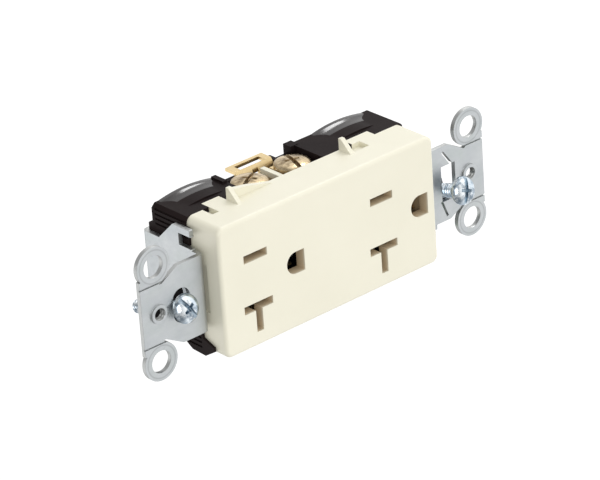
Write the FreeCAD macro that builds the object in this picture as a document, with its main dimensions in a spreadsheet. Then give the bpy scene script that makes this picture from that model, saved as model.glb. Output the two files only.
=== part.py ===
# Duplex wall outlet, 20 A, with a wrap-around steel mounting strap.
# Frame: +Z is the long axis, up when installed (earth holes down), the face
# looks along -Y, +X is to the right when facing it.  Millimetres.  The origin is
# the centre of the device in the front plane of the strap's end plates.
import FreeCAD, Part
import Sketcher
import math
import os

doc = FreeCAD.newDocument("duplex_wall_outlet")
sheet = doc.addObject("Spreadsheet::Sheet", "Dims")


class Q:
    """A size that knows both its value and its spreadsheet expression."""

    def __init__(self, v, e):
        self.v = float(v)
        self.e = e

    def __add__(self, o):
        o = q(o)
        return Q(self.v + o.v, "(%s + %s)" % (self.e, o.e))

    def __radd__(self, o):
        return q(o) + self

    def __sub__(self, o):
        o = q(o)
        return Q(self.v - o.v, "(%s - %s)" % (self.e, o.e))

    def __rsub__(self, o):
        return q(o) - self

    def __mul__(self, o):
        o = q(o)
        return Q(self.v * o.v, "(%s * %s)" % (self.e, o.e))

    def __rmul__(self, o):
        return q(o) * self

    def __truediv__(self, o):
        o = q(o)
        return Q(self.v / o.v, "(%s / %s)" % (self.e, o.e))

    def __neg__(self):
        return Q(-self.v, "(0 - %s)" % self.e)


def q(v):
    return v if isinstance(v, Q) else Q(v, "%.6g" % v if v >= 0 else "(0 - %.6g)" % -v)


row = [0]


def D(alias, value):
    row[0] += 1
    cell = "B%d" % row[0]
    sheet.set("A%d" % row[0], alias)
    sheet.set(cell, "%.6g" % value)
    sheet.setAlias(cell, alias)
    return Q(value, "Dims." + alias)


# ---- main sizes -----------------------------------------------------------
face_w = D("face_width", 33.0)
face_len = D("face_height", 66.5)
face_front = D("face_proud", 4.3)
cover_back = D("cover_back", 6.5)
front_wall = D("front_wall", 3.0)
side_wall = D("side_wall", 2.0)
corner_r = D("face_corner_radius", 1.8)
edge_r = D("face_edge_radius", 0.9)
mid_z = D("outlet_mid_z", 3.3)
half_pitch = D("outlet_half_pitch", 19.5)
blade_x = D("blade_offset", 6.35)
hot_len = D("hot_slot_len", 7.0)
slot_w = D("slot_width", 2.0)
tee_bar = D("tee_bar_len", 8.6)
tee_end = D("tee_stem_end", 12.9)
earth_r = D("earth_hole_radius", 2.75)
earth_c = D("earth_round_centre_drop", 11.9)
earth_flat = D("earth_flat_drop", 14.54)
hous_hw = D("housing_half_width", 16.5)
hous_hl = D("housing_half_length", 34.0)
hous_back = D("housing_back", 18.0)
foot_back = D("housing_foot_back", 19.5)
foot_hw = D("housing_foot_half_width", 11.4)
arch_out = D("housing_arch_crown", 16.9)
cav_mid = D("cavity_half_width_mid", 9.6)
cav_out = D("cavity_half_width_outer", 13.5)
cav_len = D("cavity_half_length", 31.2)
cav_floor = D("cavity_floor", 16.6)
rec_lo = D("recess_low_z", -8.4)
rec_hi = D("recess_high_z", 15.0)
rec_wall = D("recess_end_wall", 1.6)
rec_floor = D("recess_floor_x", 10.6)
bus_in = D("bus_inner_x", 10.65)
bus_t = D("bus_thickness", 0.8)
strap_t = D("strap_thickness", 1.2)
leg_in = D("strap_leg_inner_z", 34.1)
strap_end = D("strap_end_z", 53.2)
strap_hw = D("strap_plate_half_width", 9.8)
leg_hw = D("strap_leg_half_width", 14.7)
back_hw = D("strap_back_half_width", 9.6)
tip_hw = D("strap_tip_half_width", 7.0)
ear_x = D("ear_centre_x", 12.0)
ear_z = D("ear_centre_z", 48.8)
ear_out = D("ear_outer_radius", 4.75)
ear_in = D("ear_hole_radius", 2.75)
tap_z = D("cover_screw_z", 48.4)
tap_r = D("cover_screw_hole_radius", 1.5)
collar_r = D("cover_screw_collar_radius", 2.3)
mslot_z = D("mounting_slot_z", 41.65)
mslot_hx = D("mounting_slot_half_len", 4.6)
mslot_hz = D("mounting_slot_half_width", 2.25)
mslot_uz = D("mounting_slot_upper_half_width", 2.5)
term_y = D("terminal_y", 11.5)
term_hi = D("terminal_upper_z", 9.9)
term_lo = D("terminal_lower_z", -3.3)
ts_r = D("terminal_shank_radius", 2.05)
ts_hr = D("terminal_head_radius", 4.5)
ts_ht = D("terminal_head_height", 1.8)
ts_under = D("terminal_head_underside_x", 14.5)
ts_len = D("terminal_shank_len", 7.7)
run_gap = D("running_clearance", 0.05)
clamp_t = D("clamp_thickness", 1.1)
clamp_hy = D("clamp_half_depth", 3.7)
clamp_hz = D("clamp_half_height", 4.0)
ms_r = D("mounting_shank_radius", 1.75)
ms_hr = D("mounting_head_radius", 3.5)
ms_ht = D("mounting_head_height", 1.9)
ms_len = D("mounting_shank_len", 18.8)
ms_tilt = D("mounting_screw_tilt", 17.0)
ms_x = D("mounting_head_x", -0.6)
ms_in_y = D("mounting_head_seated_y", -1.9)
ms_out_y = D("mounting_head_out_y", -5.4)
ret_t = D("retainer_thickness", 1.0)
ret_up = D("retainer_distance_upper", 5.6)
ret_lo = D("retainer_distance_lower", 12.0)
ret_hw = D("retainer_half_width", 3.6)
ret_hl = D("retainer_half_height", 4.6)
gs_y = D("ground_screw_y", 9.0)
gs_z = D("ground_screw_z", -38.8)
gs_hr = D("ground_head_radius", 3.4)
rivet_r = D("rivet_radius", 1.5)
wire_x = D("wire_hole_x", 12.7)
wire_r = D("wire_hole_radius", 1.4)
doc.recompute()

AX = {"x": (0, FreeCAD.Vector(1, 0, 0)), "y": (1, FreeCAD.Vector(0, 1, 0)), "z": (2, FreeCAD.Vector(0, 0, 1))}
count = [0]


def bind(o, prop, val):
    if isinstance(val, Q) and "Dims." in val.e:
        o.setExpression(prop, val.e)


def base(o, x, y, z):
    o.Placement.Base = FreeCAD.Vector(q(x).v, q(y).v, q(z).v)
    for n, c in (("x", x), ("y", y), ("z", z)):
        bind(o, "Placement.Base." + n, c)


def box(x0, x1, y0, y1, z0, z1):
    count[0] += 1
    o = doc.addObject("Part::Box", "blk%d" % count[0])
    for p, a, b in (("Length", x0, x1), ("Width", y0, y1), ("Height", z0, z1)):
        d = q(b) - q(a)
        setattr(o, p, d.v)
        bind(o, p, d)
    base(o, x0, y0, z0)
    return o


def cyl(r, length, axis, x, y, z, r2=None):
    """A cylinder, or a cone when r2 is given, from (x, y, z) along the signed axis."""
    count[0] += 1
    if r2 is None:
        o = doc.addObject("Part::Cylinder", "rod%d" % count[0])
        o.Radius = q(r).v
        bind(o, "Radius", r)
    else:
        o = doc.addObject("Part::Cone", "rod%d" % count[0])
        o.Radius1 = q(r).v
        o.Radius2 = q(r2).v
        bind(o, "Radius1", r)
        bind(o, "Radius2", r2)
    o.Height = q(length).v
    bind(o, "Height", length)
    turns = {"+z": ((0, 0, 1), 0), "-z": ((1, 0, 0), 180), "+x": ((0, 1, 0), 90), "-x": ((0, 1, 0), -90),
             "+y": ((1, 0, 0), -90), "-y": ((1, 0, 0), 90)}
    v, a = turns[axis]
    o.Placement.Rotation = FreeCAD.Rotation(FreeCAD.Vector(*v), a)
    base(o, x, y, z)
    return o


def fuse(*objs):
    count[0] += 1
    o = doc.addObject("Part::MultiFuse", "join%d" % count[0])
    o.Shapes = list(objs)
    o.Refine = True
    return o


def cut(a, b):
    count[0] += 1
    o = doc.addObject("Part::Cut", "cut%d" % count[0])
    o.Base = a
    o.Tool = b
    o.Refine = True
    return o


def group(*objs):
    count[0] += 1
    o = doc.addObject("Part::Compound", "set%d" % count[0])
    o.Links = list(objs)
    return o


def mirror_x(o):
    count[0] += 1
    m = doc.addObject("Part::Mirroring", "mir%d" % count[0])
    m.Source = o
    m.Normal = FreeCAD.Vector(1, 0, 0)
    m.Base = FreeCAD.Vector(0, 0, 0)
    return m


# ---- sketches in bodies ---------------------------------------------------
def new_body(name):
    return doc.addObject("PartDesign::Body", name)


def sketch(body, plane, offset=0.0, back=False):
    """plane XZ: u=X, v=Z, drawn at Y=offset.  plane YZ: u=Y, v=Z.  plane XY: u=X, v=Y."""
    sk = body.newObject("Sketcher::SketchObject", "Sketch")
    for f in body.Origin.OriginFeatures:
        if f.Role == plane + "_Plane":
            sk.AttachmentSupport = [(f, "")]
    sk.MapMode = "FlatFace"
    sign = -1.0 if plane == "XZ" else 1.0
    off = q(offset) * sign
    sk.AttachmentOffset = FreeCAD.Placement(FreeCAD.Vector(0, 0, off.v), FreeCAD.Rotation())
    if isinstance(offset, Q):
        sk.setExpression("AttachmentOffset.Base.z", off.e)
    return sk


def fix(sk, geo, pos, u, v):
    for kind, val in (("DistanceX", q(u)), ("DistanceY", q(v))):
        i = sk.addConstraint(Sketcher.Constraint(kind, -1, 1, geo, pos, val.v))
        if "Dims." in val.e:
            sk.setExpression("Constraints[%d]" % i, val.e)


def outline(sk, pts):
    """Closed outline.  A point is (u, v), or (u, v, cu, cv, side): the edge that leaves it
    is an arc round (cu, cv); side +1 runs anticlockwise, -1 clockwise."""
    first = None
    prev = None
    n = len(pts)
    for i in range(n):
        a, b = pts[i], pts[(i + 1) % n]
        pa = FreeCAD.Vector(q(a[0]).v, q(a[1]).v, 0)
        pb = FreeCAD.Vector(q(b[0]).v, q(b[1]).v, 0)
        if len(a) == 2:
            g = sk.addGeometry(Part.LineSegment(pa, pb), False)
            st, en = (g, 1), (g, 2)
        else:
            c = FreeCAD.Vector(q(a[2]).v, q(a[3]).v, 0)
            r = (pa - c).Length
            ang_a = math.atan2(pa.y - c.y, pa.x - c.x)
            ang_b = math.atan2(pb.y - c.y, pb.x - c.x)
            lo, hi = (ang_a, ang_b) if a[4] > 0 else (ang_b, ang_a)
            while hi < lo:
                hi += 2 * math.pi
            g = sk.addGeometry(Part.ArcOfCircle(Part.Circle(c, FreeCAD.Vector(0, 0, 1), r), lo, hi), False)
            st, en = ((g, 1), (g, 2)) if a[4] > 0 else ((g, 2), (g, 1))
            # both ends are fixed by the corner sizes, so one centre size is left
            if abs(pb.y - pa.y) < abs(pb.x - pa.x):
                j = sk.addConstraint(Sketcher.Constraint("DistanceY", -1, 1, g, 3, q(a[3]).v))
                if "Dims." in q(a[3]).e:
                    sk.setExpression("Constraints[%d]" % j, q(a[3]).e)
            else:
                j = sk.addConstraint(Sketcher.Constraint("DistanceX", -1, 1, g, 3, q(a[2]).v))
                if "Dims." in q(a[2]).e:
                    sk.setExpression("Constraints[%d]" % j, q(a[2]).e)
        if prev is not None:
            sk.addConstraint(Sketcher.Constraint("Coincident", prev[0], prev[1], st[0], st[1]))
        else:
            first = st
        fix(sk, st[0], st[1], a[0], a[1])
        prev = en
    sk.addConstraint(Sketcher.Constraint("Coincident", prev[0], prev[1], first[0], first[1]))


def rect(sk, u0, v0, u1, v1):
    outline(sk, [(u0, v0), (u1, v0), (u1, v1), (u0, v1)])


def circle(sk, u, v, r):
    g = sk.addGeometry(Part.Circle(FreeCAD.Vector(q(u).v, q(v).v, 0), FreeCAD.Vector(0, 0, 1), q(r).v), False)
    fix(sk, g, 3, u, v)
    i = sk.addConstraint(Sketcher.Constraint("Radius", g, q(r).v))
    if "Dims." in q(r).e:
        sk.setExpression("Constraints[%d]" % i, q(r).e)


def grow(body, sk, length, reverse=False, mid=False):
    p = body.newObject("PartDesign::Pad", "Pad")
    p.Profile = sk
    p.Length = q(length).v
    bind(p, "Length", length)
    p.Reversed = reverse
    if mid:
        p.Midplane = True
    doc.recompute()
    return p


def carve(body, sk, length, reverse=False, mid=False):
    before = body.Shape.Volume
    p = body.newObject("PartDesign::Pocket", "Pocket")
    p.Profile = sk
    p.Length = q(length).v
    bind(p, "Length", length)
    p.Reversed = reverse
    if mid:
        p.Midplane = True
    doc.recompute()
    if not body.Shape.Volume < before - 1e-4:
        raise SystemExit("pocket %s of %s removes nothing" % (p.Name, body.Name))
    return p


def round_edges(body, name, test, radius):
    last = body.Tip
    names = ["Edge%d" % (i + 1) for i, e in enumerate(last.Shape.Edges) if test(e)]
    fl = body.newObject("PartDesign::Fillet", name)
    fl.Base = (last, names)
    fl.Radius = radius.v
    bind(fl, "Radius", radius)
    doc.recompute()


parts = []


def keep(o, name):
    o.Label = name
    parts.append((o, name))
    return o


def along(z):
    """Outlet centre lines: upper +1, lower -1."""
    return mid_z + half_pitch * z


fw = face_w / 2
fh = face_len / 2
rec_lo_out = rec_lo - rec_wall
rec_hi_out = rec_hi + rec_wall


def cavity_outline(hw_mid, hw_out, hl):
    return [(-hw_out, -hl), (hw_out, -hl), (hw_out, rec_lo_out), (hw_mid, rec_lo_out), (hw_mid, rec_hi_out),
            (hw_out, rec_hi_out), (hw_out, hl), (-hw_out, hl), (-hw_out, rec_hi_out), (-hw_mid, rec_hi_out),
            (-hw_mid, rec_lo_out), (-hw_out, rec_lo_out)]


# ---- moulded front cover --------------------------------------------------
b = new_body("FaceBody")
sk = sketch(b, "XZ", cover_back)
rect(sk, -fw, -fh, fw, fh)
grow(b, sk, cover_back + face_front)
round_edges(b, "Corners", lambda e: abs(e.Vertexes[0].X - e.Vertexes[-1].X) < 1e-6 and abs(e.Vertexes[0].Z - e.Vertexes[-1].Z) < 1e-6, corner_r)
round_edges(b, "FrontEdge", lambda e: all(abs(x.Y + face_front.v) < 1e-6 for x in e.Vertexes), edge_r)
# hollow behind the front wall
sk = sketch(b, "XZ", front_wall - face_front)
outline(sk, cavity_outline(cav_mid, cav_out + 0.8, cav_len))
carve(b, sk, cover_back + face_front)
# fins that bound the terminals at each side, the latch lugs and the divider between the screws
for s in (1, -1):
    for z0 in (20.0, -14.7):
        sk = sketch(b, "XY", z0)
        outline(sk, [(s * (fw - 1.5), 2.4), (s * fw, 2.4), (s * (fw + 3.0), 5.6), (s * (fw + 3.0), cover_back),
                     (s * (fw - 1.5), cover_back)])
        grow(b, sk, 1.2)
    sk = sketch(b, "XZ", cover_back - 1.0)
    rect(sk, s * (fw - 1.9), 21.2, s * fw, 26.4)
    rect(sk, s * (fw - 1.9), -24.9, s * fw, -17.6)
    grow(b, sk, 3.7, reverse=True)
    # rail that flares out towards the upper fin
    sk = sketch(b, "XZ", cover_back - 1.3)
    outline(sk, [(s * (fw - 0.6), 8.4), (s * fw, 8.4), (s * (fw + 1.9), 16.0), (s * (fw + 2.6), 20.2), (s * (fw - 0.6), 20.2)])
    grow(b, sk, 1.3, reverse=True)
    sk = sketch(b, "XZ", cover_back - 1.0)
    rect(sk, s * (rec_floor + 1.3), mid_z - 0.65, s * 15.6, mid_z + 0.65)
    grow(b, sk, 9.2, reverse=True)
    # relief beside each latch lug
    sk = sketch(b, "XZ", 3.0)
    rect(sk, s * (fw - 1.2), 26.4, s * (fw + 1.0), 28.4)
    rect(sk, s * (fw - 1.2), -19.9, s * (fw + 1.0), -15.4)
    carve(b, sk, 3.5)
# shaded recess in each end wall
for s in (1, -1):
    sk = sketch(b, "XZ", 0.6)
    rect(sk, -6.0, s * (fh - 0.35), 6.0, s * (fh + 1.0))
    carve(b, sk, 8.0)
# blade and earth openings through the front wall
for s in (1, -1):
    c = along(s)
    sk = sketch(b, "XZ", -face_front - 0.5)
    rect(sk, blade_x - slot_w / 2, c - hot_len / 2, blade_x + slot_w / 2, c + hot_len / 2)
    outline(sk, [(-tee_end, c - slot_w / 2), (-blade_x - slot_w / 2, c - slot_w / 2),
                 (-blade_x - slot_w / 2, c - tee_bar / 2), (-blade_x + slot_w / 2, c - tee_bar / 2),
                 (-blade_x + slot_w / 2, c + tee_bar / 2), (-blade_x - slot_w / 2, c + tee_bar / 2),
                 (-blade_x - slot_w / 2, c + slot_w / 2), (-tee_end, c + slot_w / 2)])
    outline(sk, [(-earth_r, c - earth_flat), (earth_r, c - earth_flat), (earth_r, c - earth_c, 0.0, c - earth_c, 1),
                 (-earth_r, c - earth_c)])
    carve(b, sk, front_wall + 1.0)
keep(b, "face_cover")

# ---- rear housing ---------------------------------------------------------
b = new_body("HousingBody")
sk = sketch(b, "XZ", cover_back)
outline(sk, [(-hous_hw, -hous_hl + 1.0), (-hous_hw + 1.0, -hous_hl), (hous_hw - 1.0, -hous_hl), (hous_hw, -hous_hl + 1.0),
             (hous_hw, hous_hl - 1.0), (hous_hw - 1.0, hous_hl), (-hous_hw + 1.0, hous_hl), (-hous_hw, hous_hl - 1.0)])
grow(b, sk, hous_back - cover_back, reverse=True)
# raised back pad that carries the strap
sk = sketch(b, "XZ", hous_back - 1.0)
rect(sk, -foot_hw, -hous_hl, foot_hw, hous_hl)
grow(b, sk, foot_back - hous_back + 1.0, reverse=True)
# bulged side of each outlet
R_arch = D("arch_radius", 37.0)
doc.recompute()
for s in (1, -1):
    for zc, z0, z1 in ((24.0, 15.6, 32.4), (-23.0, -31.4, -14.6)):
        h = (z1 - z0) / 2
        dx = math.sqrt(37.0 ** 2 - h ** 2)
        cx = arch_out - R_arch
        sk = sketch(b, "XZ", 10.5)
        if s > 0:
            outline(sk, [(hous_hw - 0.8, z0), (cx + dx, z0, cx, zc, 1), (cx + dx, z1), (hous_hw - 0.8, z1)])
        else:
            outline(sk, [(-(hous_hw - 0.8), z0), (-(hous_hw - 0.8), z1), (-(cx + dx), z1, -cx, zc, 1), (-(cx + dx), z0)])
        grow(b, sk, hous_back - 10.5, reverse=True)
        # rim along the back of the bulge
        cx2 = arch_out + 0.45 - R_arch
        sk = sketch(b, "XZ", 16.9)
        if s > 0:
            outline(sk, [(hous_hw - 0.8, z0), (cx2 + dx, z0, cx2, zc, 1), (cx2 + dx, z1), (hous_hw - 0.8, z1)])
        else:
            outline(sk, [(-(hous_hw - 0.8), z0), (-(hous_hw - 0.8), z1), (-(cx2 + dx), z1, -cx2, zc, 1), (-(cx2 + dx), z0)])
        grow(b, sk, hous_back - 16.9, reverse=True)
# hollow for the contacts
sk = sketch(b, "XZ", cover_back - 0.5)
outline(sk, cavity_outline(cav_mid, cav_out, cav_len))
carve(b, sk, cav_floor - cover_back + 0.5)
for s in (1, -1):
    # terminal recess, its open back edge, the opening for the break-off tab and the bus bar slots
    sk = sketch(b, "XZ", cover_back - 0.5)
    rect(sk, s * rec_floor, rec_lo, s * (hous_hw + 3.0), rec_hi)
    carve(b, sk, cav_floor - cover_back + 0.5)
    sk = sketch(b, "XZ", cover_back - 0.5)
    rect(sk, s * 14.6, rec_lo, s * (hous_hw + 3.0), rec_hi)
    carve(b, sk, 16.0)
    sk = sketch(b, "XZ", cover_back - 0.5)
    rect(sk, s * 11.35, mid_z - 5.8, s * (hous_hw + 3.0), mid_z + 5.8)
    carve(b, sk, 16.0)
    sk = sketch(b, "XZ", cover_back - 0.5)
    rect(sk, s * rec_floor, rec_lo_out - 0.5, s * (rec_floor + 1.05), rec_hi_out + 0.5)
    carve(b, sk, 9.6)
    # wire entry holes in the back, beside each terminal screw
    sk = sketch(b, "XZ", 14.0)
    for zc in (term_hi, term_lo):
        circle(sk, s * wire_x, zc + (2.3 if zc is term_hi else -2.3), wire_r)
    carve(b, sk, 8.0)
    # clearance for the terminal shanks
    sk = sketch(b, "YZ", 0.0)
    circle(sk, term_y, term_hi, ts_r + 0.35)
    circle(sk, term_y, term_lo, ts_r + 0.35)
    carve(b, sk, 15.0, reverse=(s > 0))
    # notches that take the latch lugs
    sk = sketch(b, "XZ", cover_back - 0.5)
    rect(sk, s * (fw - 2.0), 20.9, s * (fw + 3.0), 26.5)
    rect(sk, s * (fw - 2.0), -25.0, s * (fw + 3.0), -17.5)
    carve(b, sk, 3.4)
    # lip at the back of the recess, below the tab
    sk = sketch(b, "XZ", 16.6)
    rect(sk, s * 12.6, -3.9, s * 14.5, -2.55)
    grow(b, sk, 3.6, reverse=True)
    # raised corner at the lower end of the recess and taller wall at its upper end
    sk = sketch(b, "XZ", 16.3)
    rect(sk, s * 12.0, rec_lo - 1.2, s * (hous_hw + 0.1), rec_lo + 1.3)
    grow(b, sk, 2.7, reverse=True)
    sk = sketch(b, "XZ", 13.4)
    rect(sk, s * 13.5, rec_hi, s * 17.0, rec_hi + 1.3)
    grow(b, sk, 4.2, reverse=True)
# rivet holes
sk = sketch(b, "XZ", 14.0)
for s in (1, -1):
    circle(sk, 0.0, along(s) - earth_c - 0.3, rivet_r)
carve(b, sk, 8.0)
# flanges in front of the cover's end walls, seen through the strap's notches
for w in (1, -1):
    for s in (1, -1):
        sk = sketch(b, "XY", w * (hous_hl - 0.325))
        if s < 0 < w:
            outline(sk, [(s * 9.9, 9.0), (s * 9.9, 3.2), (s * 13.0, 3.2), (s * 14.4, -0.6), (s * 15.4, -0.6),
                         (s * 17.4, 2.6), (s * 17.2, 7.2), (s * 15.6, 9.8)])
        else:
            outline(sk, [(s * 9.9, 9.0), (s * 9.9, 5.2), (s * 14.4, 5.2), (s * 14.4, 9.0)])
        grow(b, sk, 0.65, mid=True)
# ribs on the end walls, either side of the strap leg
for s in (1, -1):
    for k in range(4):
        sk = sketch(b, "XZ", 3.6)
        u = 11.6 + 1.2 * k
        rect(sk, u, s * (hous_hl - 0.4), u + 0.5, s * (hous_hl + 0.5))
        rect(sk, -u - 0.5, s * (hous_hl - 0.4), -u, s * (hous_hl + 0.5))
        carve(b, sk, 13.4)
keep(b, "rear_housing")

# ---- wrap-around strap ----------------------------------------------------
b = new_body("StrapBody")
bend = D("strap_bend_radius", 1.4)
doc.recompute()
leg_out = leg_in + strap_t
back_out = foot_back + strap_t
sk = sketch(b, "YZ", 0.0)
outline(sk, [(0.0, strap_end), (0.0, leg_in + bend, bend, leg_in + bend, 1), (bend, leg_in), (foot_back, leg_in),
             (foot_back, -leg_in), (bend, -leg_in, bend, -leg_in - bend, 1), (0.0, -leg_in - bend), (0.0, -strap_end),
             (strap_t, -strap_end), (strap_t, -leg_out), (back_out - bend, -leg_out, back_out - bend, -leg_out + bend, 1),
             (back_out, -leg_out + bend), (back_out, leg_out - bend, back_out - bend, leg_out - bend, 1),
             (back_out - bend, leg_out), (strap_t, leg_out), (strap_t, strap_end)])
grow(b, sk, leg_hw * 2, mid=True)
# end plate outline
sk = sketch(b, "XZ", -0.5)
for s in (1, -1):
    for w in (1, -1):
        pts = [(s * strap_hw, w * (leg_in - 0.05)), (s * strap_hw, w * 41.9), (s * tip_hw, w * 46.9),
               (s * tip_hw, w * 54.5), (s * 17.0, w * 54.5), (s * 17.0, w * (leg_in - 0.05))]
        outline(sk, pts)
carve(b, sk, 3.5)
# leg and back outline
sk = sketch(b, "XY", 0.0)
for s in (1, -1):
    outline(sk, [(s * leg_hw + s * 1.0, 9.2), (s * leg_hw, 9.2), (s * back_hw, 14.5), (s * back_hw, 22.0),
                 (s * leg_hw + s * 1.0, 22.0)])
carve(b, sk, 90.0, mid=True)
# notch in the front of each leg, beside the end plate
sk = sketch(b, "XY", 0.0)
for s in (1, -1):
    rect(sk, s * 10.1, 1.9, s * 13.1, 7.3)
    outline(sk, [(s * 13.2, 1.0), (s * 16.0, 1.0), (s * 16.0, 4.6), (s * 14.6, 3.3), (s * 13.2, 3.3)])
carve(b, sk, 90.0, mid=True)
# the side arm is left out at two opposite corners
for w in (1, -1):
    sk = sketch(b, "XY", w * 30.0)
    rect(sk, -w * 9.95, 1.25, -w * 16.0, 14.5)
    carve(b, sk, 12.0, reverse=(w > 0))
# break-off ears
sk = sketch(b, "XZ", 0.0)
for s in (1, -1):
    for w in (1, -1):
        circle(sk, s * ear_x, w * ear_z, ear_out)
grow(b, sk, strap_t, reverse=True)
sk = sketch(b, "XZ", 0.0)
for s in (1, -1):
    for w in (1, -1):
        rect(sk, s * (tip_hw - 0.5), w * 47.5, s * 9.4, w * strap_end)
grow(b, sk, strap_t, reverse=True)
# collars of the cover screw holes
sk = sketch(b, "XZ", strap_t / 2)
circle(sk, 0.0, tap_z, collar_r)
circle(sk, 0.0, -tap_z, collar_r)
grow(b, sk, strap_t / 2 + 0.5)
sk = sketch(b, "XZ", -2.0)
circle(sk, 0.0, tap_z, tap_r)
circle(sk, 0.0, -tap_z, tap_r)
for s in (1, -1):
    for w in (1, -1):
        circle(sk, s * ear_x, w * ear_z, ear_in)
# upper mounting slot, rounded
hx, hz, uz = mslot_hx, mslot_hz, mslot_uz
ux = hx - 0.7
outline(sk, [(-hx + uz, mslot_z - uz), (ux - uz, mslot_z - uz, ux - uz, mslot_z, 1), (ux - uz, mslot_z + uz),
             (-hx + uz, mslot_z + uz, -hx + uz, mslot_z, 1)])
# lower mounting slot, square
rect(sk, -hx, -mslot_z - hz, hx, -mslot_z + hz)
carve(b, sk, 5.0)
# scored break lines of the ears, on both faces
for y0, rev in ((-0.5, False),):
    sk = sketch(b, "XZ", y0)
    for s in (1, -1):
        for w in (1, -1):
            rect(sk, s * 7.3, w * 47.0, s * 7.7, w * 54.0)
    carve(b, sk, 0.95)
# slits that free the grounding fingers at the lower slot
sk = sketch(b, "XZ", -0.5)
outline(sk, [(2.9, -43.4), (3.5, -43.9), (8.5, -40.3), (8.05, -39.8)])
outline(sk, [(-4.5, -38.9), (-4.4, -39.5), (-8.6, -41.2), (-8.8, -40.65)])
carve(b, sk, 2.5)
# ground terminal lug at the lower end
sk = sketch(b, "XZ", 5.6)
rect(sk, -leg_hw, -42.4, -leg_hw + strap_t, -leg_in - 0.2)
grow(b, sk, 6.8, reverse=True)
sk = sketch(b, "YZ", 0.0)
circle(sk, gs_y, gs_z, ts_r + run_gap)
carve(b, sk, 16.0, reverse=False)
# rivet holes in the back
sk = sketch(b, "XZ", 14.0)
for s in (1, -1):
    circle(sk, 0.0, along(s) - earth_c - 0.3, rivet_r)
carve(b, sk, 8.0)
keep(b, "mounting_strap")


# ---- terminal bars with their contacts -----------------------------------
def bus_bar(name, tee):
    x0, x1 = bus_in, bus_in + bus_t
    pieces = []
    lo_end, hi_end = along(-1) - 3.6, along(1) + 3.6
    pieces.append(box(x0, x1, 8.0, 15.5, rec_lo_out, mid_z - 0.85))
    pieces.append(box(x0, x1, 8.0, 15.5, mid_z + 0.85, rec_hi_out))
    pieces.append(box(x0, x1, 13.8, 15.5, lo_end, rec_lo_out + 1.0))
    pieces.append(box(x0, x1, 13.8, 15.5, rec_hi_out - 1.0, hi_end))
    # joggle out to the break-off tab
    b = new_body(name + "_jog")
    sk = sketch(b, "XY", mid_z - 5.6)
    outline(sk, [(x0, 15.0), (x1, 15.0), (x1, 15.5), (x1 + 3.85, 17.9), (x1 + 3.85, 21.4), (x0 + 3.85, 21.4),
                 (x0 + 3.85, 18.3), (x0, 15.9)])
    grow(b, sk, 11.2)
    sk = sketch(b, "YZ", 0.0)
    rect(sk, 14.5, mid_z - 0.9, 17.5, mid_z + 0.9)
    carve(b, sk, 16.0, reverse=True)
    sk = sketch(b, "YZ", 0.0)
    rect(sk, 17.95, mid_z - 3.75, 20.35, mid_z + 3.75)
    carve(b, sk, 16.0, reverse=True)
    pieces.append(b)
    for s in (1, -1):
        c = along(s)
        pieces.append(box(4.75, x0 + 0.3, 14.2, 15.1, c - 3.2, c + 3.2))
        pieces.append(box(4.75, 5.4, 0.4, 14.5, c - 3.2, c + 3.2))
        if tee:
            pieces.append(box(7.3, 7.95, 0.4, 14.5, c + 1.2, c + 3.2))
            pieces.append(box(7.3, 7.95, 0.4, 14.5, c - 3.2, c - 1.2))
        else:
            pieces.append(box(7.3, 7.95, 0.4, 14.5, c - 3.2, c + 3.2))
    f = fuse(*pieces)
    holes = fuse(cyl(ts_r + run_gap, 4.0, "+x", 9.0, term_y, term_hi), cyl(ts_r + run_gap, 4.0, "+x", 9.0, term_y, term_lo))
    return cut(f, holes)


keep(bus_bar("hot", False), "hot_bus_bar")
keep(mirror_x(bus_bar("neutral", True)), "neutral_bus_bar")


# ---- earth contacts and their rivets --------------------------------------
rivets = []
for s, nm in ((1, "upper"), (-1, "lower")):
    zc = along(s) - earth_c - 0.3
    f = fuse(box(-3.1, 3.1, cav_floor - 0.6, cav_floor, zc - 2.7, zc + 2.7),
             box(-3.1, -2.45, 0.6, cav_floor - 0.3, zc - 2.4, zc + 2.4),
             box(2.45, 3.1, 0.6, cav_floor - 0.3, zc - 2.4, zc + 2.4))
    keep(cut(f, cyl(rivet_r, 4.0, "+y", 0.0, cav_floor - 2.0, zc)), "ground_contact_" + nm)
    rivets.append(fuse(cyl(rivet_r, back_out - cav_floor + 0.6, "+y", 0.0, cav_floor - 0.6, zc),
                       cyl(2.2, 0.7, "-y", 0.0, cav_floor - 0.6, zc, r2=1.7),
                       cyl(2.7, 0.9, "+y", 0.0, back_out, zc, r2=1.8)))
keep(group(*rivets), "ground_rivets")


# ---- terminal clamps and screws ------------------------------------------
def clamp(sgn, z, hz=None):
    x_out = ts_under - run_gap
    x_in = x_out - clamp_t
    hz = clamp_hz if hz is None else hz
    plate = box(x_in, x_out, term_y - clamp_hy, term_y + clamp_hy, z - hz, z + hz)
    lips = [box(x_in - 0.45, x_in + 0.2, term_y - clamp_hy, term_y + clamp_hy, z + w * (hz - 0.35) - 0.35,
                z + w * (hz - 0.35) + 0.35) for w in (1, -1)]
    f = cut(fuse(plate, *lips), cyl(ts_r + run_gap, 4.0, "+x", 11.0, term_y, z))
    return f if sgn > 0 else mirror_x(f)


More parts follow.
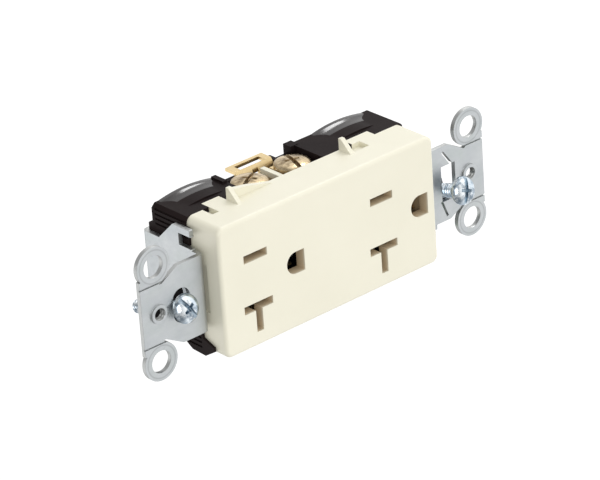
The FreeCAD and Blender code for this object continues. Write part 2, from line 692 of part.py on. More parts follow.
def terminal_screw(sgn, z):
    xu = ts_under
    head = fuse(cyl(ts_hr, ts_ht - 0.6, "+x", xu, term_y, z), cyl(ts_hr, 0.6, "+x", xu + ts_ht - 0.6, term_y, z, r2=ts_hr - 0.9))
    shank = fuse(cyl(ts_r, ts_len - 0.8 + 0.5, "-x", xu + 0.5, term_y, z), cyl(ts_r, 0.8, "-x", xu - ts_len + 0.8, term_y, z, r2=1.3))
    slots = fuse(box(xu + ts_ht - 0.9, xu + ts_ht + 1.0, term_y - 5.0, term_y + 5.0, z - 0.55, z + 0.55),
                 box(xu + ts_ht - 1.1, xu + ts_ht + 1.0, term_y - 0.7, term_y + 0.7, z - 2.2, z + 2.2))
    f = cut(fuse(head, shank), slots)
    return f if sgn > 0 else mirror_x(f)


for sgn, side in ((1, "hot"), (-1, "neutral")):
    for z, nm in ((term_hi, "upper"), (term_lo, "lower")):
        keep(clamp(sgn, z), "%s_clamp_%s" % (side, nm))
for sgn, side in ((1, "hot"), (-1, "neutral")):
    for z, nm in ((term_hi, "upper"), (term_lo, "lower")):
        keep(terminal_screw(sgn, z), "%s_screw_%s" % (side, nm))

# ground screw and its clamp on the lug at the lower end, on the -X side
gx = leg_hw + 0.85
plate = cut(box(-gx - 1.1, -gx, gs_y - 3.0, gs_y + 3.4, gs_z - 3.4, gs_z + 3.4),
            cyl(ts_r + run_gap, 6.0, "-x", -gx + 2.0, gs_y, gs_z))
keep(plate, "ground_clamp")
xu = gx + 1.1 + run_gap
head = fuse(cyl(gs_hr, 1.5, "-x", -xu, gs_y, gs_z), cyl(gs_hr, 0.5, "-x", -xu - 1.5, gs_y, gs_z, r2=gs_hr - 0.7))
shank = cyl(ts_r, 6.0, "+x", -xu - 0.5, gs_y, gs_z)
keep(cut(fuse(head, shank), box(-xu - 3.0, -xu - 1.1, gs_y - 5.0, gs_y + 5.0, gs_z - 0.55, gs_z + 0.55)), "ground_screw")


# ---- mounting screws and their retainers ----------------------------------
def mounting_screw():
    head = fuse(cyl(ms_hr, 0.7, "+z", 0, 0, -0.95), cyl(ms_hr, ms_ht - 0.7, "+z", 0, 0, -0.25, r2=ms_hr - 1.1))
    shank = fuse(cyl(ms_r, ms_len - 0.7 + 0.4, "-z", 0, 0, -0.55), cyl(ms_r, 0.7, "-z", 0, 0, 0.25 - 0.4 - ms_len + 0.3 + 0.0, r2=1.1))
    slots = fuse(box(-5.0, 5.0, -0.5, 0.5, 0.05, 2.0), box(-0.6, 0.6, -2.0, 2.0, -0.15, 2.0))
    return cut(fuse(head, shank), slots)


def retainer(gap, hw, hl):
    return cut(box(-hw, hw, -hl, hl, -0.95 - gap - ret_t, -0.95 - gap),
               cyl(ms_r + run_gap, 30.0, "-z", 0, 0, 5.0))


def place(o, y, z):
    # local +Z (the head's side) points along -Y, turned by the tilt about Z
    o.Placement = FreeCAD.Placement(FreeCAD.Vector(0, 0, 0), FreeCAD.Rotation())
    rot = FreeCAD.Rotation(FreeCAD.Vector(0, 0, 1), ms_tilt.v).multiply(FreeCAD.Rotation(FreeCAD.Vector(1, 0, 0), 90))
    o.Placement = FreeCAD.Placement(FreeCAD.Vector(ms_x.v, q(y).v, q(z).v), rot)
    o.setExpression("Placement.Base.x", ms_x.e)
    o.setExpression("Placement.Base.y", q(y).e)
    o.setExpression("Placement.Base.z", q(z).e)
    return o


keep(place(retainer(ret_up, ret_hw, ret_hl), ms_in_y, mslot_z), "screw_retainer_upper")
keep(place(retainer(ret_lo, ret_hw, ret_hl), ms_out_y, -mslot_z), "screw_retainer_lower")
keep(place(mounting_screw(), ms_in_y, mslot_z), "mounting_screw_upper")
keep(place(mounting_screw(), ms_out_y, -mslot_z), "mounting_screw_lower")

doc.recompute()
for o in doc.Objects:
    if "Invalid" in o.State or "Error" in o.State:
        raise SystemExit("bad object %s %s %s" % (o.Name, o.Label, o.State))
os.makedirs("parts", exist_ok=True)
for o, name in parts:
    shp = o.Shape
    if shp.isNull() or not shp.isValid():
        raise SystemExit("bad shape " + name)
    bb = shp.BoundBox
    print("%-22s solids %d vol %9.2f  x %.2f..%.2f y %.2f..%.2f z %.2f..%.2f" % (
        name, len(shp.Solids), shp.Volume, bb.XMin, bb.XMax, bb.YMin, bb.YMax, bb.ZMin, bb.ZMax))
    shp.exportStep("parts/%s.step" % name)
print(len(parts), "sub-parts")
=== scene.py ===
import bpy
import bmesh
import math
from mathutils import Matrix, Vector


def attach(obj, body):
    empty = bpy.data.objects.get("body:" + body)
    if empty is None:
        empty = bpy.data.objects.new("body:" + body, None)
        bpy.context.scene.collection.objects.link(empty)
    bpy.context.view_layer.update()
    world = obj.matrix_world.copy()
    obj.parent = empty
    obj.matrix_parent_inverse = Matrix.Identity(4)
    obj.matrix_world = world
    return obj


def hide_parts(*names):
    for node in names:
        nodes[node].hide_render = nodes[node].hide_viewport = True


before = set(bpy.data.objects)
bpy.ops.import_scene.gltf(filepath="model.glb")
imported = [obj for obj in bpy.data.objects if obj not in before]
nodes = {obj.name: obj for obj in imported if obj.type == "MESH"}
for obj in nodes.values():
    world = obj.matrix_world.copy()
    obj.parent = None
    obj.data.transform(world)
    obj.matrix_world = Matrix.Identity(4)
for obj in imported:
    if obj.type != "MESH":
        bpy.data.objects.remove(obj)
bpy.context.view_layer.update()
MM = 0.001


# ---------------------------------------------------------------- camera
cam_data = bpy.data.cameras.new("camera")
cam = bpy.data.objects.new("camera", cam_data)
bpy.context.scene.collection.objects.link(cam)
RIGHT = Vector((-0.063393, -0.6648618, -0.7442715))
UP = Vector((0.8943818, 0.2930372, -0.3379503))
BACK = Vector((0.4427895, -0.6870865, 0.5760638))
cam.matrix_world = Matrix((
    (RIGHT.x, UP.x, BACK.x, 0.3871675),
    (RIGHT.y, UP.y, BACK.y, -0.5970287),
    (RIGHT.z, UP.z, BACK.z, 0.5062239),
    (0, 0, 0, 1)))
cam_data.sensor_width = 36.0
cam_data.lens = 226.2009
cam_data.clip_start = 0.05
cam_data.clip_end = 50.0
bpy.context.scene.camera = cam
bpy.context.scene.view_settings.view_transform = "Standard"


# ---------------------------------------------------------------- materials
def new_material(name):
    m = bpy.data.materials.new(name)
    m.use_nodes = True
    t = m.node_tree
    t.nodes.clear()
    out = t.nodes.new("ShaderNodeOutputMaterial")
    bsdf = t.nodes.new("ShaderNodeBsdfPrincipled")
    t.links.new(bsdf.outputs[0], out.inputs[0])
    tc = t.nodes.new("ShaderNodeTexCoord")
    return m, t, bsdf, tc


def noise(t, tc, scale, detail=4.0, rough=0.5, stretch=None):
    n = t.nodes.new("ShaderNodeTexNoise")
    n.inputs["Scale"].default_value = scale
    n.inputs["Detail"].default_value = detail
    n.inputs["Roughness"].default_value = rough
    if stretch is None:
        t.links.new(tc.outputs["Object"], n.inputs["Vector"])
    else:
        mp = t.nodes.new("ShaderNodeMapping")
        mp.inputs["Scale"].default_value = stretch
        t.links.new(tc.outputs["Object"], mp.inputs["Vector"])
        t.links.new(mp.outputs[0], n.inputs["Vector"])
    return n.outputs["Fac"]


def ramp(t, fac, stops):
    r = t.nodes.new("ShaderNodeValToRGB")
    el = r.color_ramp.elements
    el[0].position, el[0].color = stops[0][0], (*stops[0][1], 1)
    el[1].position, el[1].color = stops[-1][0], (*stops[-1][1], 1)
    for p, c in stops[1:-1]:
        e = el.new(p)
        e.color = (*c, 1)
    t.links.new(fac, r.inputs[0])
    return r.outputs[0]


def remap(t, fac, a, b, lo=0.0, hi=1.0):
    m = t.nodes.new("ShaderNodeMapRange")
    m.inputs["From Min"].default_value = lo
    m.inputs["From Max"].default_value = hi
    m.inputs["To Min"].default_value = a
    m.inputs["To Max"].default_value = b
    t.links.new(fac, m.inputs["Value"])
    return m.outputs[0]


def bump(t, bsdf, height, strength, distance):
    b = t.nodes.new("ShaderNodeBump")
    b.inputs["Strength"].default_value = strength
    b.inputs["Distance"].default_value = distance
    t.links.new(height, b.inputs["Height"])
    t.links.new(b.outputs[0], bsdf.inputs["Normal"])


def mix(t, fac, a, b, mode="MIX"):
    m = t.nodes.new("ShaderNodeMix")
    m.data_type = "RGBA"
    m.blend_type = mode
    if isinstance(fac, float):
        m.inputs[0].default_value = fac
    else:
        t.links.new(fac, m.inputs[0])
    for i, c in ((6, a), (7, b)):
        if isinstance(c, tuple):
            m.inputs[i].default_value = (*c, 1)
        else:
            t.links.new(c, m.inputs[i])
    return m.outputs[2]


def plastic(name, c0, c1, rough0, rough1, fine=2600.0, bump_d=0.00002, bump_s=0.35, coat=0.0, ior=1.49, sss=0.0, spec=0.5, slot_shade=None):
    m, t, p, tc = new_material(name)
    cloud = noise(t, tc, 55.0, 3.0, 0.5)
    grain = noise(t, tc, fine, 3.0, 0.55)
    col = ramp(t, cloud, [(0.3, c0), (0.7, c1)])
    if slot_shade is not None:
        # painted shade: inside the openings the colour turns browner and duller, darkening further in, standing in for
        # the shade where the moulding is thin and shaded
        sep = t.nodes.new("ShaderNodeSeparateXYZ")
        t.links.new(tc.outputs["Object"], sep.inputs[0])
        ax = t.nodes.new("ShaderNodeMath")
        ax.operation = "ABSOLUTE"
        t.links.new(sep.outputs[0], ax.inputs[0])
        az = t.nodes.new("ShaderNodeMath")
        az.operation = "ABSOLUTE"
        t.links.new(sep.outputs[2], az.inputs[0])
        slot_shade_mask = remap(t, sep.outputs[1], 0.0, 1.0, -0.0043, -0.0036)
        slot_shade_depth = remap(t, sep.outputs[1], 0.0, 1.0, -0.0040, 0.0005)
        mx = remap(t, ax.outputs[0], 1.0, 0.0, 0.0141, 0.0143)
        mz = remap(t, az.outputs[0], 1.0, 0.0, 0.0312, 0.0315)
        m1 = t.nodes.new("ShaderNodeMath")
        m1.operation = "MULTIPLY"
        t.links.new(slot_shade_mask, m1.inputs[0])
        t.links.new(mx, m1.inputs[1])
        m2 = t.nodes.new("ShaderNodeMath")
        m2.operation = "MULTIPLY"
        t.links.new(m1.outputs[0], m2.inputs[0])
        t.links.new(mz, m2.inputs[1])
        col = mix(t, m2.outputs[0], col, mix(t, slot_shade_depth, slot_shade[0], slot_shade[1]))
    t.links.new(col, p.inputs["Base Color"])
    p.inputs["Specular IOR Level"].default_value = spec
    t.links.new(remap(t, grain, rough0, rough1, 0.3, 0.7), p.inputs["Roughness"])
    p.inputs["IOR"].default_value = ior
    p.inputs["Coat Weight"].default_value = coat
    p.inputs["Coat Roughness"].default_value = 0.12
    if sss > 0:
        p.inputs["Subsurface Weight"].default_value = sss
        p.inputs["Subsurface Radius"].default_value = (1.0, 0.7, 0.4)
        p.inputs["Subsurface Scale"].default_value = 0.0008
    bump(t, p, grain, bump_s, bump_d)
    return m


def metal(name, c0, c1, rough0, rough1, stretch=(1.0, 1.0, 1.0), streak=900.0, bump_d=0.00001, bump_s=0.25, tint=None, cloud=130.0, edges=False, lo=0.25, hi=0.75):
    m, t, p, tc = new_material(name)
    p.inputs["Metallic"].default_value = 1.0
    patches = noise(t, tc, cloud, 5.0, 0.6)
    lines = noise(t, tc, streak, 4.0, 0.6, stretch)
    col = ramp(t, patches, [(lo, c0), (hi, c1)])
    if tint is not None:
        far = noise(t, tc, 210.0, 2.0, 0.5)
        col = mix(t, remap(t, far, 0.0, 0.55, 0.45, 0.7), col, tint)
    if edges:
        # sheared edges of the sheet are duller than its rolled faces
        g = t.nodes.new("ShaderNodeNewGeometry")
        sep = t.nodes.new("ShaderNodeSeparateXYZ")
        t.links.new(g.outputs["True Normal"], sep.inputs[0])
        pos = t.nodes.new("ShaderNodeSeparateXYZ")
        t.links.new(tc.outputs["Object"], pos.inputs[0])
        parts = []
        for src in (sep.outputs[0], sep.outputs[1], pos.outputs[2]):
            a = t.nodes.new("ShaderNodeMath")
            a.operation = "ABSOLUTE"
            t.links.new(src, a.inputs[0])
            parts.append(a.outputs[0])
        side = remap(t, parts[0], 0.0, 1.0, 0.25, 0.5)
        flat = remap(t, parts[1], 1.0, 0.0, 0.3, 0.6)
        out_z = remap(t, parts[2], 0.0, 1.0, 0.0362, 0.0366)
        m1 = t.nodes.new("ShaderNodeMath")
        m1.operation = "MAXIMUM"
        t.links.new(side, m1.inputs[0])
        t.links.new(out_z, m1.inputs[1])
        m2 = t.nodes.new("ShaderNodeMath")
        m2.operation = "MULTIPLY"
        t.links.new(m1.outputs[0], m2.inputs[0])
        t.links.new(flat, m2.inputs[1])
        col = mix(t, m2.outputs[0], col, (0.48, 0.49, 0.485))
        # coined ring round the hole of each ear
        off = t.nodes.new("ShaderNodeCombineXYZ")
        px = t.nodes.new("ShaderNodeMath")
        px.operation = "ABSOLUTE"
        t.links.new(pos.outputs[0], px.inputs[0])
        for src, dist, k in ((px.outputs[0], 0.012, 0), (parts[2], 0.0488, 2)):
            d = t.nodes.new("ShaderNodeMath")
            d.operation = "SUBTRACT"
            t.links.new(src, d.inputs[0])
            d.inputs[1].default_value = dist
            t.links.new(d.outputs[0], off.inputs[k])
        ln = t.nodes.new("ShaderNodeVectorMath")
        ln.operation = "LENGTH"
        t.links.new(off.outputs[0], ln.inputs[0])
        band = t.nodes.new("ShaderNodeValToRGB")
        el = band.color_ramp.elements
        el[0].position, el[0].color = 0.0, (0, 0, 0, 1)
        el[1].position, el[1].color = 1.0, (0, 0, 0, 1)
        for q, v in ((0.74, 0.0), (0.80, 1.0), (0.85, 0.0)):
            e = el.new(q)
            e.color = (v, v, v, 1)
        t.links.new(remap(t, ln.outputs["Value"], 0.0, 1.0, 0.0, 0.005), band.inputs[0])
        keep_flat = t.nodes.new("ShaderNodeMath")
        keep_flat.operation = "MULTIPLY"
        t.links.new(band.outputs[0], keep_flat.inputs[0])
        t.links.new(remap(t, parts[1], 0.0, 0.55, 0.8, 0.95), keep_flat.inputs[1])
        col = mix(t, keep_flat.outputs[0], col, (0.30, 0.31, 0.315))
    t.links.new(col, p.inputs["Base Color"])
    t.links.new(remap(t, lines, rough0, rough1, 0.25, 0.75), p.inputs["Roughness"])
    bump(t, p, lines, bump_s, bump_d)
    return m


# ivory; its second pair of colours is painted shade inside the slot openings
IVORY = plastic("ivory", (0.795, 0.765, 0.625), (0.825, 0.795, 0.655), 0.30, 0.42, fine=2400.0, bump_d=0.000012, bump_s=0.3,
                slot_shade=((0.68, 0.56, 0.39), (0.44, 0.335, 0.20)))
BLACK = plastic("black", (0.0125, 0.0085, 0.0085), (0.021, 0.0145, 0.0142), 0.30, 0.42, fine=3000.0, bump_d=0.00002, bump_s=0.35, spec=0.03)
BLACK_RIM = plastic("black_rim", (0.014, 0.011, 0.011), (0.022, 0.0175, 0.0172), 0.13, 0.20, fine=3000.0, bump_d=0.000006, bump_s=0.3, spec=0.40, coat=0.46)
ZINC = metal("zinc_sheet", (0.47, 0.495, 0.515), (0.58, 0.60, 0.605), 0.34, 0.50, stretch=(1.0, 1.0, 0.16), streak=1400.0, bump_d=0.000018,
             tint=(0.48, 0.52, 0.51), edges=True)
BRASS = metal("brass", (0.64, 0.49, 0.25), (0.78, 0.62, 0.36), 0.24, 0.38, stretch=(0.2, 1.0, 0.2), streak=1300.0)
NICKEL = metal("nickel", (0.62, 0.60, 0.56), (0.70, 0.68, 0.64), 0.24, 0.36, streak=1500.0)
BRASS_SCREW = metal("brass_screw", (0.20, 0.14, 0.075), (0.74, 0.60, 0.39), 0.18, 0.32, streak=1700.0, tint=(0.44, 0.33, 0.18), cloud=520.0, lo=0.36, hi=0.64)
NICKEL_SCREW = metal("nickel_screw", (0.50, 0.49, 0.475), (0.72, 0.71, 0.69), 0.18, 0.30, streak=1700.0, cloud=420.0)
BLUE_ZINC = metal("blue_zinc", (0.20, 0.25, 0.30), (0.88, 0.92, 0.94), 0.14, 0.28, streak=1900.0, tint=(0.46, 0.60, 0.74), cloud=640.0, lo=0.40, hi=0.60)
# darker copies of the screw metals for the faces cut by the slots and cross recesses: painted shade inside the
# recesses
BLUE_RECESS_SHADE = metal("blue_zinc_recess_shade", (0.20, 0.25, 0.30), (0.52, 0.63, 0.71), 0.25, 0.45, streak=1900.0, cloud=600.0)
BRASS_RECESS_SHADE = metal("brass_recess_shade", (0.22, 0.16, 0.09), (0.46, 0.35, 0.21), 0.30, 0.50, streak=1700.0, cloud=600.0)
NICKEL_RECESS_SHADE = metal("nickel_recess_shade", (0.08, 0.08, 0.08), (0.22, 0.22, 0.21), 0.30, 0.50, streak=1700.0, cloud=600.0)
GREEN = metal("green_screw", (0.02, 0.20, 0.07), (0.03, 0.27, 0.10), 0.26, 0.40, streak=1700.0)
GREEN_RECESS_SHADE = metal("green_recess_shade", (0.01, 0.06, 0.02), (0.015, 0.10, 0.035), 0.30, 0.45, streak=1700.0)
FIBRE = plastic("fibre", (0.020, 0.018, 0.018), (0.034, 0.030, 0.029), 0.65, 0.8, fine=3200.0, bump_d=0.00004, bump_s=0.6, spec=0.2)
RECESS_SHADE = {"blue_zinc": BLUE_RECESS_SHADE, "brass_screw": BRASS_RECESS_SHADE, "nickel_screw": NICKEL_RECESS_SHADE, "green_screw": GREEN_RECESS_SHADE}

LOOK = {}
for n in nodes:
    if n == "face_cover":
        LOOK[n] = IVORY
    elif n == "rear_housing":
        LOOK[n] = BLACK
    elif n in ("mounting_strap", "ground_clamp"):
        LOOK[n] = ZINC
    elif n == "ground_screw":
        LOOK[n] = GREEN
    elif n.startswith("mounting_screw"):
        LOOK[n] = BLUE_ZINC
    elif n.startswith("screw_retainer"):
        LOOK[n] = FIBRE
    elif n.startswith("neutral_screw"):
        LOOK[n] = NICKEL_SCREW
    elif n.startswith("neutral"):
        LOOK[n] = NICKEL
    elif n.startswith("hot_screw"):
        LOOK[n] = BRASS_SCREW
    else:
        LOOK[n] = BRASS

SOFT_EDGE = {"face_cover": 0.22, "rear_housing": 0.25, "mounting_strap": 0.07, "hot_bus_bar": 0.08, "neutral_bus_bar": 0.08}
for n, o in nodes.items():
    o.data.materials.clear()
    o.data.materials.append(LOOK[n])
    w = o.modifiers.new("weld", "WELD")
    w.merge_threshold = 0.000002
    b = o.modifiers.new("edge", "BEVEL")
    b.width = SOFT_EDGE.get(n, 0.08) * MM
    b.segments = 2
    b.limit_method = "ANGLE"
    b.angle_limit = math.radians(38)
    b.use_clamp_overlap = True
    b.harden_normals = False
    wn = o.modifiers.new("normals", "WEIGHTED_NORMAL")
    wn.keep_sharp = False
    wn.weight = 60


# ---------------------------------------------------------------- pieces
def add(name, verts, faces, material, smooth_deg=35.0):
    me = bpy.data.meshes.new(name)
    me.from_pydata([Vector(v) * MM for v in verts], [], faces)
    me.validate()
    bm = bmesh.new()
    bm.from_mesh(me)
    bmesh.ops.recalc_face_normals(bm, faces=bm.faces)
    for f in bm.faces:
        f.smooth = True
    lim = math.radians(smooth_deg)
    for e in bm.edges:
        e.smooth = len(e.link_faces) != 2 or e.calc_face_angle(0.0) < lim
    bm.to_mesh(me)
    bm.free()
    me.materials.append(material)
    o = bpy.data.objects.new(name, me)
    bpy.context.scene.collection.objects.link(o)
    return o


def lathe(profile, n=64):
    """Closed solid of revolution about Z.  profile: (r, z) from the axis round to the axis."""
    verts, faces, rings = [], [], []
    for r, z in profile:
        if r < 1e-6:
            rings.append([len(verts)])
            verts.append((0, 0, z))
        else:
            rings.append(list(range(len(verts), len(verts) + n)))
            verts += [(r * math.cos(2 * math.pi * i / n), r * math.sin(2 * math.pi * i / n), z) for i in range(n)]
    for a, b in zip(rings, rings[1:]):
        for i in range(n):
            j = (i + 1) % n
            if len(a) == 1 and len(b) == 1:
                continue
            if len(a) == 1:
                faces.append((a[0], b[i], b[j]))
            elif len(b) == 1:
                faces.append((a[i], b[0], a[j]))
            else:
                faces.append((a[i], b[i], b[j], a[j]))
    return verts, faces


def thread(r_out, r_in, z_top, z_end, pitch, n=44, per=10, blunt=0.8):
    """Right-hand external thread about Z from z_top down to z_end."""
    verts, faces = [], []
    count = int(math.ceil((z_top - z_end) / pitch * per))
    for j in range(count + 1):
        z = z_top - (z_top - z_end) * j / count
        end = min(1.0, (z - z_end) / blunt)
        top = min(1.0, (z_top - z) / (pitch * 0.8))
        for i in range(n):
            a = 2 * math.pi * i / n
            ph = (z / pitch - a / (2 * math.pi)) % 1.0
            tri = abs(2.0 * ph - 1.0)
            lift = min(1.0, max(0.0, (tri - 0.10) / 0.74))
            r = r_in + (r_out - r_in) * lift * min(1.0, 0.15 + end)
            r = r - (1.0 - min(1.0, end)) * r_in * 0.22
            r = min(r, r_in + (r_out - r_in) * max(lift, 1.0 - top))
            verts.append((r * math.cos(a), r * math.sin(a), z))
    for j in range(count):
        for i in range(n):
            k = (i + 1) % n
            faces.append((j * n + i, (j + 1) * n + i, (j + 1) * n + k, j * n + k))
    faces.append(tuple(range(n - 1, -1, -1)))
    faces.append(tuple(count * n + i for i in range(n)))
    return verts, faces


def prism(pts, z0, z1, shrink=1.0):
    n = len(pts)
    v = [(x * shrink, y * shrink, z0) for x, y in pts] + [(x, y, z1) for x, y in pts]
    f = [tuple(range(n - 1, -1, -1)), tuple(range(n, 2 * n))]
    f += [(i, (i + 1) % n, n + (i + 1) % n, n + i) for i in range(n)]
    return v, f


def subtract(obj, tools):
    recess_shade_mat = RECESS_SHADE[obj.data.materials[0].name.split(".")[0]]
    # the faces cut by the tools take the darker copy of the metal, painted shade inside the slots and recesses
    obj.data.materials.append(recess_shade_mat)
    for k, (v, f) in enumerate(tools):
        c = add("cutter", v, f, obj.data.materials[0])
        c.data.materials.append(recess_shade_mat)
        for poly in c.data.polygons:
            poly.material_index = 1
        m = obj.modifiers.new("cut", "BOOLEAN")
        m.operation = "DIFFERENCE"
        m.solver = "EXACT"
        m.object = c
        dg = bpy.context.evaluated_depsgraph_get()
        me = bpy.data.meshes.new_from_object(obj.evaluated_get(dg))
        obj.modifiers.clear()
        obj.data = me
        bpy.data.objects.remove(c)


def cross(w, l):
    return [(w, w), (w, l), (-w, l), (-w, w), (-l, w), (-l, -w), (-w, -w), (-w, -l), (w, -l), (w, -w), (l, -w), (l, w)]


def screw(name, head, z_head_top, r_out, r_in, z_under, z_end, slot_w, slot_d, ph_l, ph_d, mat, turn=0.0, hexa=None, cross_on=True, blunt=0.8):
    """A machine screw about Z with its head up.  head: lathe profile of the head, from the axis at the
    underside round to the axis on top."""
    v, f = lathe(head)
    o = add(name, v, f, mat, 30)
    if hexa:
        hv, hf = prism([(hexa / math.cos(math.pi / 6) * math.cos(math.radians(60 * i)), hexa / math.cos(math.pi / 6) * math.sin(math.radians(60 * i))) for i in range(6)], z_under - 1.0, z_head_top + 1.0)
        c = add("hexcut", hv, hf, mat)
        m = o.modifiers.new("cut", "BOOLEAN")
        m.operation = "INTERSECT"
        m.solver = "EXACT"
        m.object = c
        dg = bpy.context.evaluated_depsgraph_get()
        me = bpy.data.meshes.new_from_object(o.evaluated_get(dg))
        o.modifiers.clear()
        o.data = me
        bpy.data.objects.remove(c)
    tools = [prism([(-9, -slot_w / 2), (9, -slot_w / 2), (9, slot_w / 2), (-9, slot_w / 2)], z_head_top - slot_d, z_head_top + 1)]
    if cross_on:
        tools.append(prism(cross(slot_w * 0.46, ph_l), z_head_top - ph_d, z_head_top + 0.4, 0.62))
    subtract(o, tools)
    tv, tf = thread(r_out, r_in, z_under + 0.35, z_end, 25.4 / 32, blunt=blunt)
    s = add(name + "_thread", tv, tf, mat, 50)
    if turn:
        o.data.transform(Matrix.Rotation(turn, 4, "Z"))
    bv = o.modifiers.new("edge", "BEVEL")
    bv.width = 0.07 * MM
    bv.segments = 2
    bv.limit_method = "ANGLE"
    bv.angle_limit = math.radians(35)
    return o, s


def dome(r, z0, z_top, edge=0.55, n=10, lip=0.25):
    """Head profile: flat underside, short rim, domed top."""
    p = [(0, z0), (r - lip, z0), (r, z0 + lip * 0.6), (r, z0 + edge)]
    for i in range(1, n + 1):
        a = (math.pi / 2) * i / n
        p.append((r * math.cos(a) if i < n else 0.0, z0 + edge + (z_top - z0 - edge) * math.sin(a)))
    return p


def put(o, s, mw, body, replaces):
    for x in (o, s):
        x.matrix_world = mw
        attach(x, body)
    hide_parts(replaces)


tilt = Matrix.Rotation(math.radians(17.0), 4, "Z") @ Matrix.Rotation(math.radians(90.0), 4, "X")
for nm, y, z, turn in (("upper", -1.9, 41.65, 0.55), ("lower", -5.4, -41.65, -0.35)):
    o, s = screw("mounting_screw_%s_detail" % nm, dome(3.5, -0.95, 0.95, 0.35), 0.95, 1.75, 1.32, -0.95, -19.2,
                 0.95, 0.85, 1.75, 1.35, BLUE_ZINC, turn, blunt=0.35)
    put(o, s, Matrix.Translation(Vector((-0.6, y, z)) * MM) @ tilt, "mounting_screw_%s_body" % nm, "mounting_screw_" + nm)
for side, sg, mt, slot in (("hot", 1, BRASS_SCREW, "brass_screw"), ("neutral", -1, NICKEL_SCREW, "nickel_screw")):
    for nm, z, turn in (("upper", 9.9, 0.5), ("lower", -3.3, 1.3)):
        o, s = screw("%s_screw_%s_detail" % (side, nm), dome(4.5, 0.0, 1.8, 0.8, lip=0.35), 1.8, 2.05, 1.6, 0.0, -7.6,
                     1.1, 0.9, 2.1, 1.25, mt, turn)
        put(o, s, Matrix.Translation(Vector((sg * 14.5, 11.5, z)) * MM) @ Matrix.Rotation(math.radians(90.0 * sg), 4, "Y"),
            "%s_screw_%s_body" % (side, nm), "%s_screw_%s" % (side, nm))
# green hexagon ground screw with a slotted washer face
gprof = [(0, 0.0), (3.4, 0.0), (3.4, 0.35), (3.1, 0.5), (3.1, 1.75), (2.8, 2.0), (0, 2.0)]
o, s = screw("ground_screw_detail", gprof, 2.0, 2.05, 1.6, 0.0, -5.4, 1.1, 0.9, 2.0, 1.2, GREEN, 0.4, hexa=3.05, cross_on=False)
put(o, s, Matrix.Translation(Vector((-16.7, 9.0, -38.8)) * MM) @ Matrix.Rotation(math.radians(-90.0), 4, "Y"),
    "ground_screw_body", "ground_screw")


# thread inside the two cover-plate screw holes
def tapped(name, z0, z1, r_hole, depth, pitch, n=40, per=12):
    verts, faces = [], []
    count = int(round((z1 - z0) / pitch * per))
    for j in range(count + 1):
        z = z0 + (z1 - z0) * j / count
        for i in range(n):
            a = 2 * math.pi * i / n
            tri = abs(2.0 * ((z / pitch - a / (2 * math.pi)) % 1.0) - 1.0)
            r = r_hole + 0.03 - depth * min(1.0, max(0.0, (tri - 0.1) / 0.74)) * min(1.0, min(z - z0, z1 - z) / 0.12 + 0.1)
            verts.append((r * math.cos(a), r * math.sin(a), z))
    base_n = len(verts)
    for j in range(count + 1):
        z = z0 + (z1 - z0) * j / count
        for i in range(n):
            a = 2 * math.pi * i / n
            verts.append(((r_hole + 0.09) * math.cos(a), (r_hole + 0.09) * math.sin(a), z))
    for j in range(count):
        for i in range(n):
            k = (i + 1) % n
            faces.append((j * n + i, j * n + k, (j + 1) * n + k, (j + 1) * n + i))
            faces.append((base_n + j * n + i, base_n + (j + 1) * n + i, base_n + (j + 1) * n + k, base_n + j * n + k))
    for j in (0, count):
        for i in range(n):
            k = (i + 1) % n
            faces.append((j * n + i, j * n + k, base_n + j * n + k, base_n + j * n + i))
    return add(name, verts, faces, ZINC_HOLE_SHADE, 50)


def bulge_rim(name, sg, zc, z0, z1, n=40):
    """Concave fillet in front of the rear rim of a housing bulge, swept along the bulge's arc."""
    R, crown = 37.0, 16.9
    prof = [(13.6, -0.12), (14.2, 0.012), (14.8, 0.035), (15.4, 0.09), (16.0, 0.19), (16.5, 0.32), (16.85, 0.45), (17.0, 0.47),
            (17.9, 0.47), (17.9, -0.12)]
    verts, faces = [], []
    m = len(prof)
    for j in range(n + 1):
        z = z0 + (z1 - z0) * j / n
        ang = math.asin((z - zc) / R)
        for y, h in prof:
            rr = R + h
            verts.append((sg * (crown - R + rr * math.cos(ang)), y, zc + rr * math.sin(ang)))
    for j in range(n):
        for i in range(m):
            k = (i + 1) % m
            faces.append((j * m + i, j * m + k, (j + 1) * m + k, (j + 1) * m + i))
    faces.append(tuple(range(m)))
    faces.append(tuple(n * m + i for i in range(m - 1, -1, -1)))
    return add(name, verts, faces, BLACK_RIM, 32)


for nm, zc, z0, z1 in (("upper", 24.0, 15.7, 32.3), ("lower", -23.0, -31.3, -14.7)):
    for side, sg in (("hot", 1), ("neutral", -1)):
        o = bulge_rim("housing_rim_%s_%s" % (side, nm), sg, zc, z0, z1)
        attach(o, "outlet")
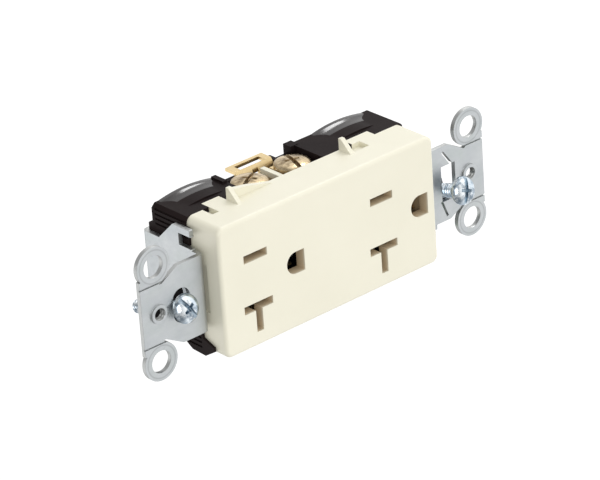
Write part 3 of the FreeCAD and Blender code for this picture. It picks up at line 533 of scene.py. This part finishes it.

# a darker copy of the zinc for the tapped threads: painted shade inside the cover screw holes
ZINC_HOLE_SHADE = metal("zinc_hole_shade", (0.20, 0.205, 0.20), (0.46, 0.47, 0.46), 0.25, 0.4, streak=1900.0, cloud=700.0)
for nm, z in (("upper", 48.4), ("lower", -48.4)):
    o = tapped("cover_hole_thread_" + nm, -1.15, 0.45, 1.5, 0.26, 25.4 / 32)
    o.matrix_world = Matrix.Translation(Vector((0.0, 0.0, z)) * MM) @ Matrix.Rotation(math.radians(90.0), 4, "X")
    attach(o, "outlet")


# ---------------------------------------------------------------- floor and light
fm, t, p, tc = new_material("floor_white")
t.links.new(ramp(t, noise(t, tc, 3.0, 2.0), [(0.3, (0.90, 0.90, 0.90)), (0.7, (0.92, 0.92, 0.92))]), p.inputs["Base Color"])
p.inputs["Roughness"].default_value = 0.9
p.inputs["Emission Color"].default_value = (1, 1, 1, 1)
p.inputs["Emission Strength"].default_value = 0.40
me = bpy.data.meshes.new("floor")
S, ZF = 6.0, -0.35
me.from_pydata([(-S, -S, ZF), (S, -S, ZF), (S, S, ZF), (-S, S, ZF)], [], [(0, 1, 2, 3)])
me.materials.append(fm)
floor = bpy.data.objects.new("floor", me)
bpy.context.scene.collection.objects.link(floor)

world = bpy.data.worlds.new("studio")
bpy.context.scene.world = world
world.use_nodes = True
bg = world.node_tree.nodes["Background"]
bg.inputs[0].default_value = (1.0, 1.0, 1.0, 1)
bg.inputs[1].default_value = 0.57


def area(name, direction, dist, size, power, color=(1, 1, 1)):
    d = bpy.data.lights.new(name, "AREA")
    d.shape = "RECTANGLE"
    d.size, d.size_y = size
    d.energy = power
    d.color = color
    o = bpy.data.objects.new(name, d)
    bpy.context.scene.collection.objects.link(o)
    v = direction.normalized()
    o.location = v * dist
    o.rotation_euler = (-v).to_track_quat("-Z", "Y").to_euler()
    return o


area("key", UP * 0.75 + RIGHT * 0.30 + BACK * 0.75, 0.9, (0.6, 0.6), 0.60)
area("front", BACK * 1.0 + RIGHT * 0.2 - UP * 0.1, 1.3, (0.7, 0.7), 5.35)
area("rim", Vector((0.75, 0.33, -0.55)), 0.55, (0.12, 0.16), 0.62)
area("back", Vector((-0.443, 0.687, 0.576)), 1.0, (0.9, 0.9), 1.9)
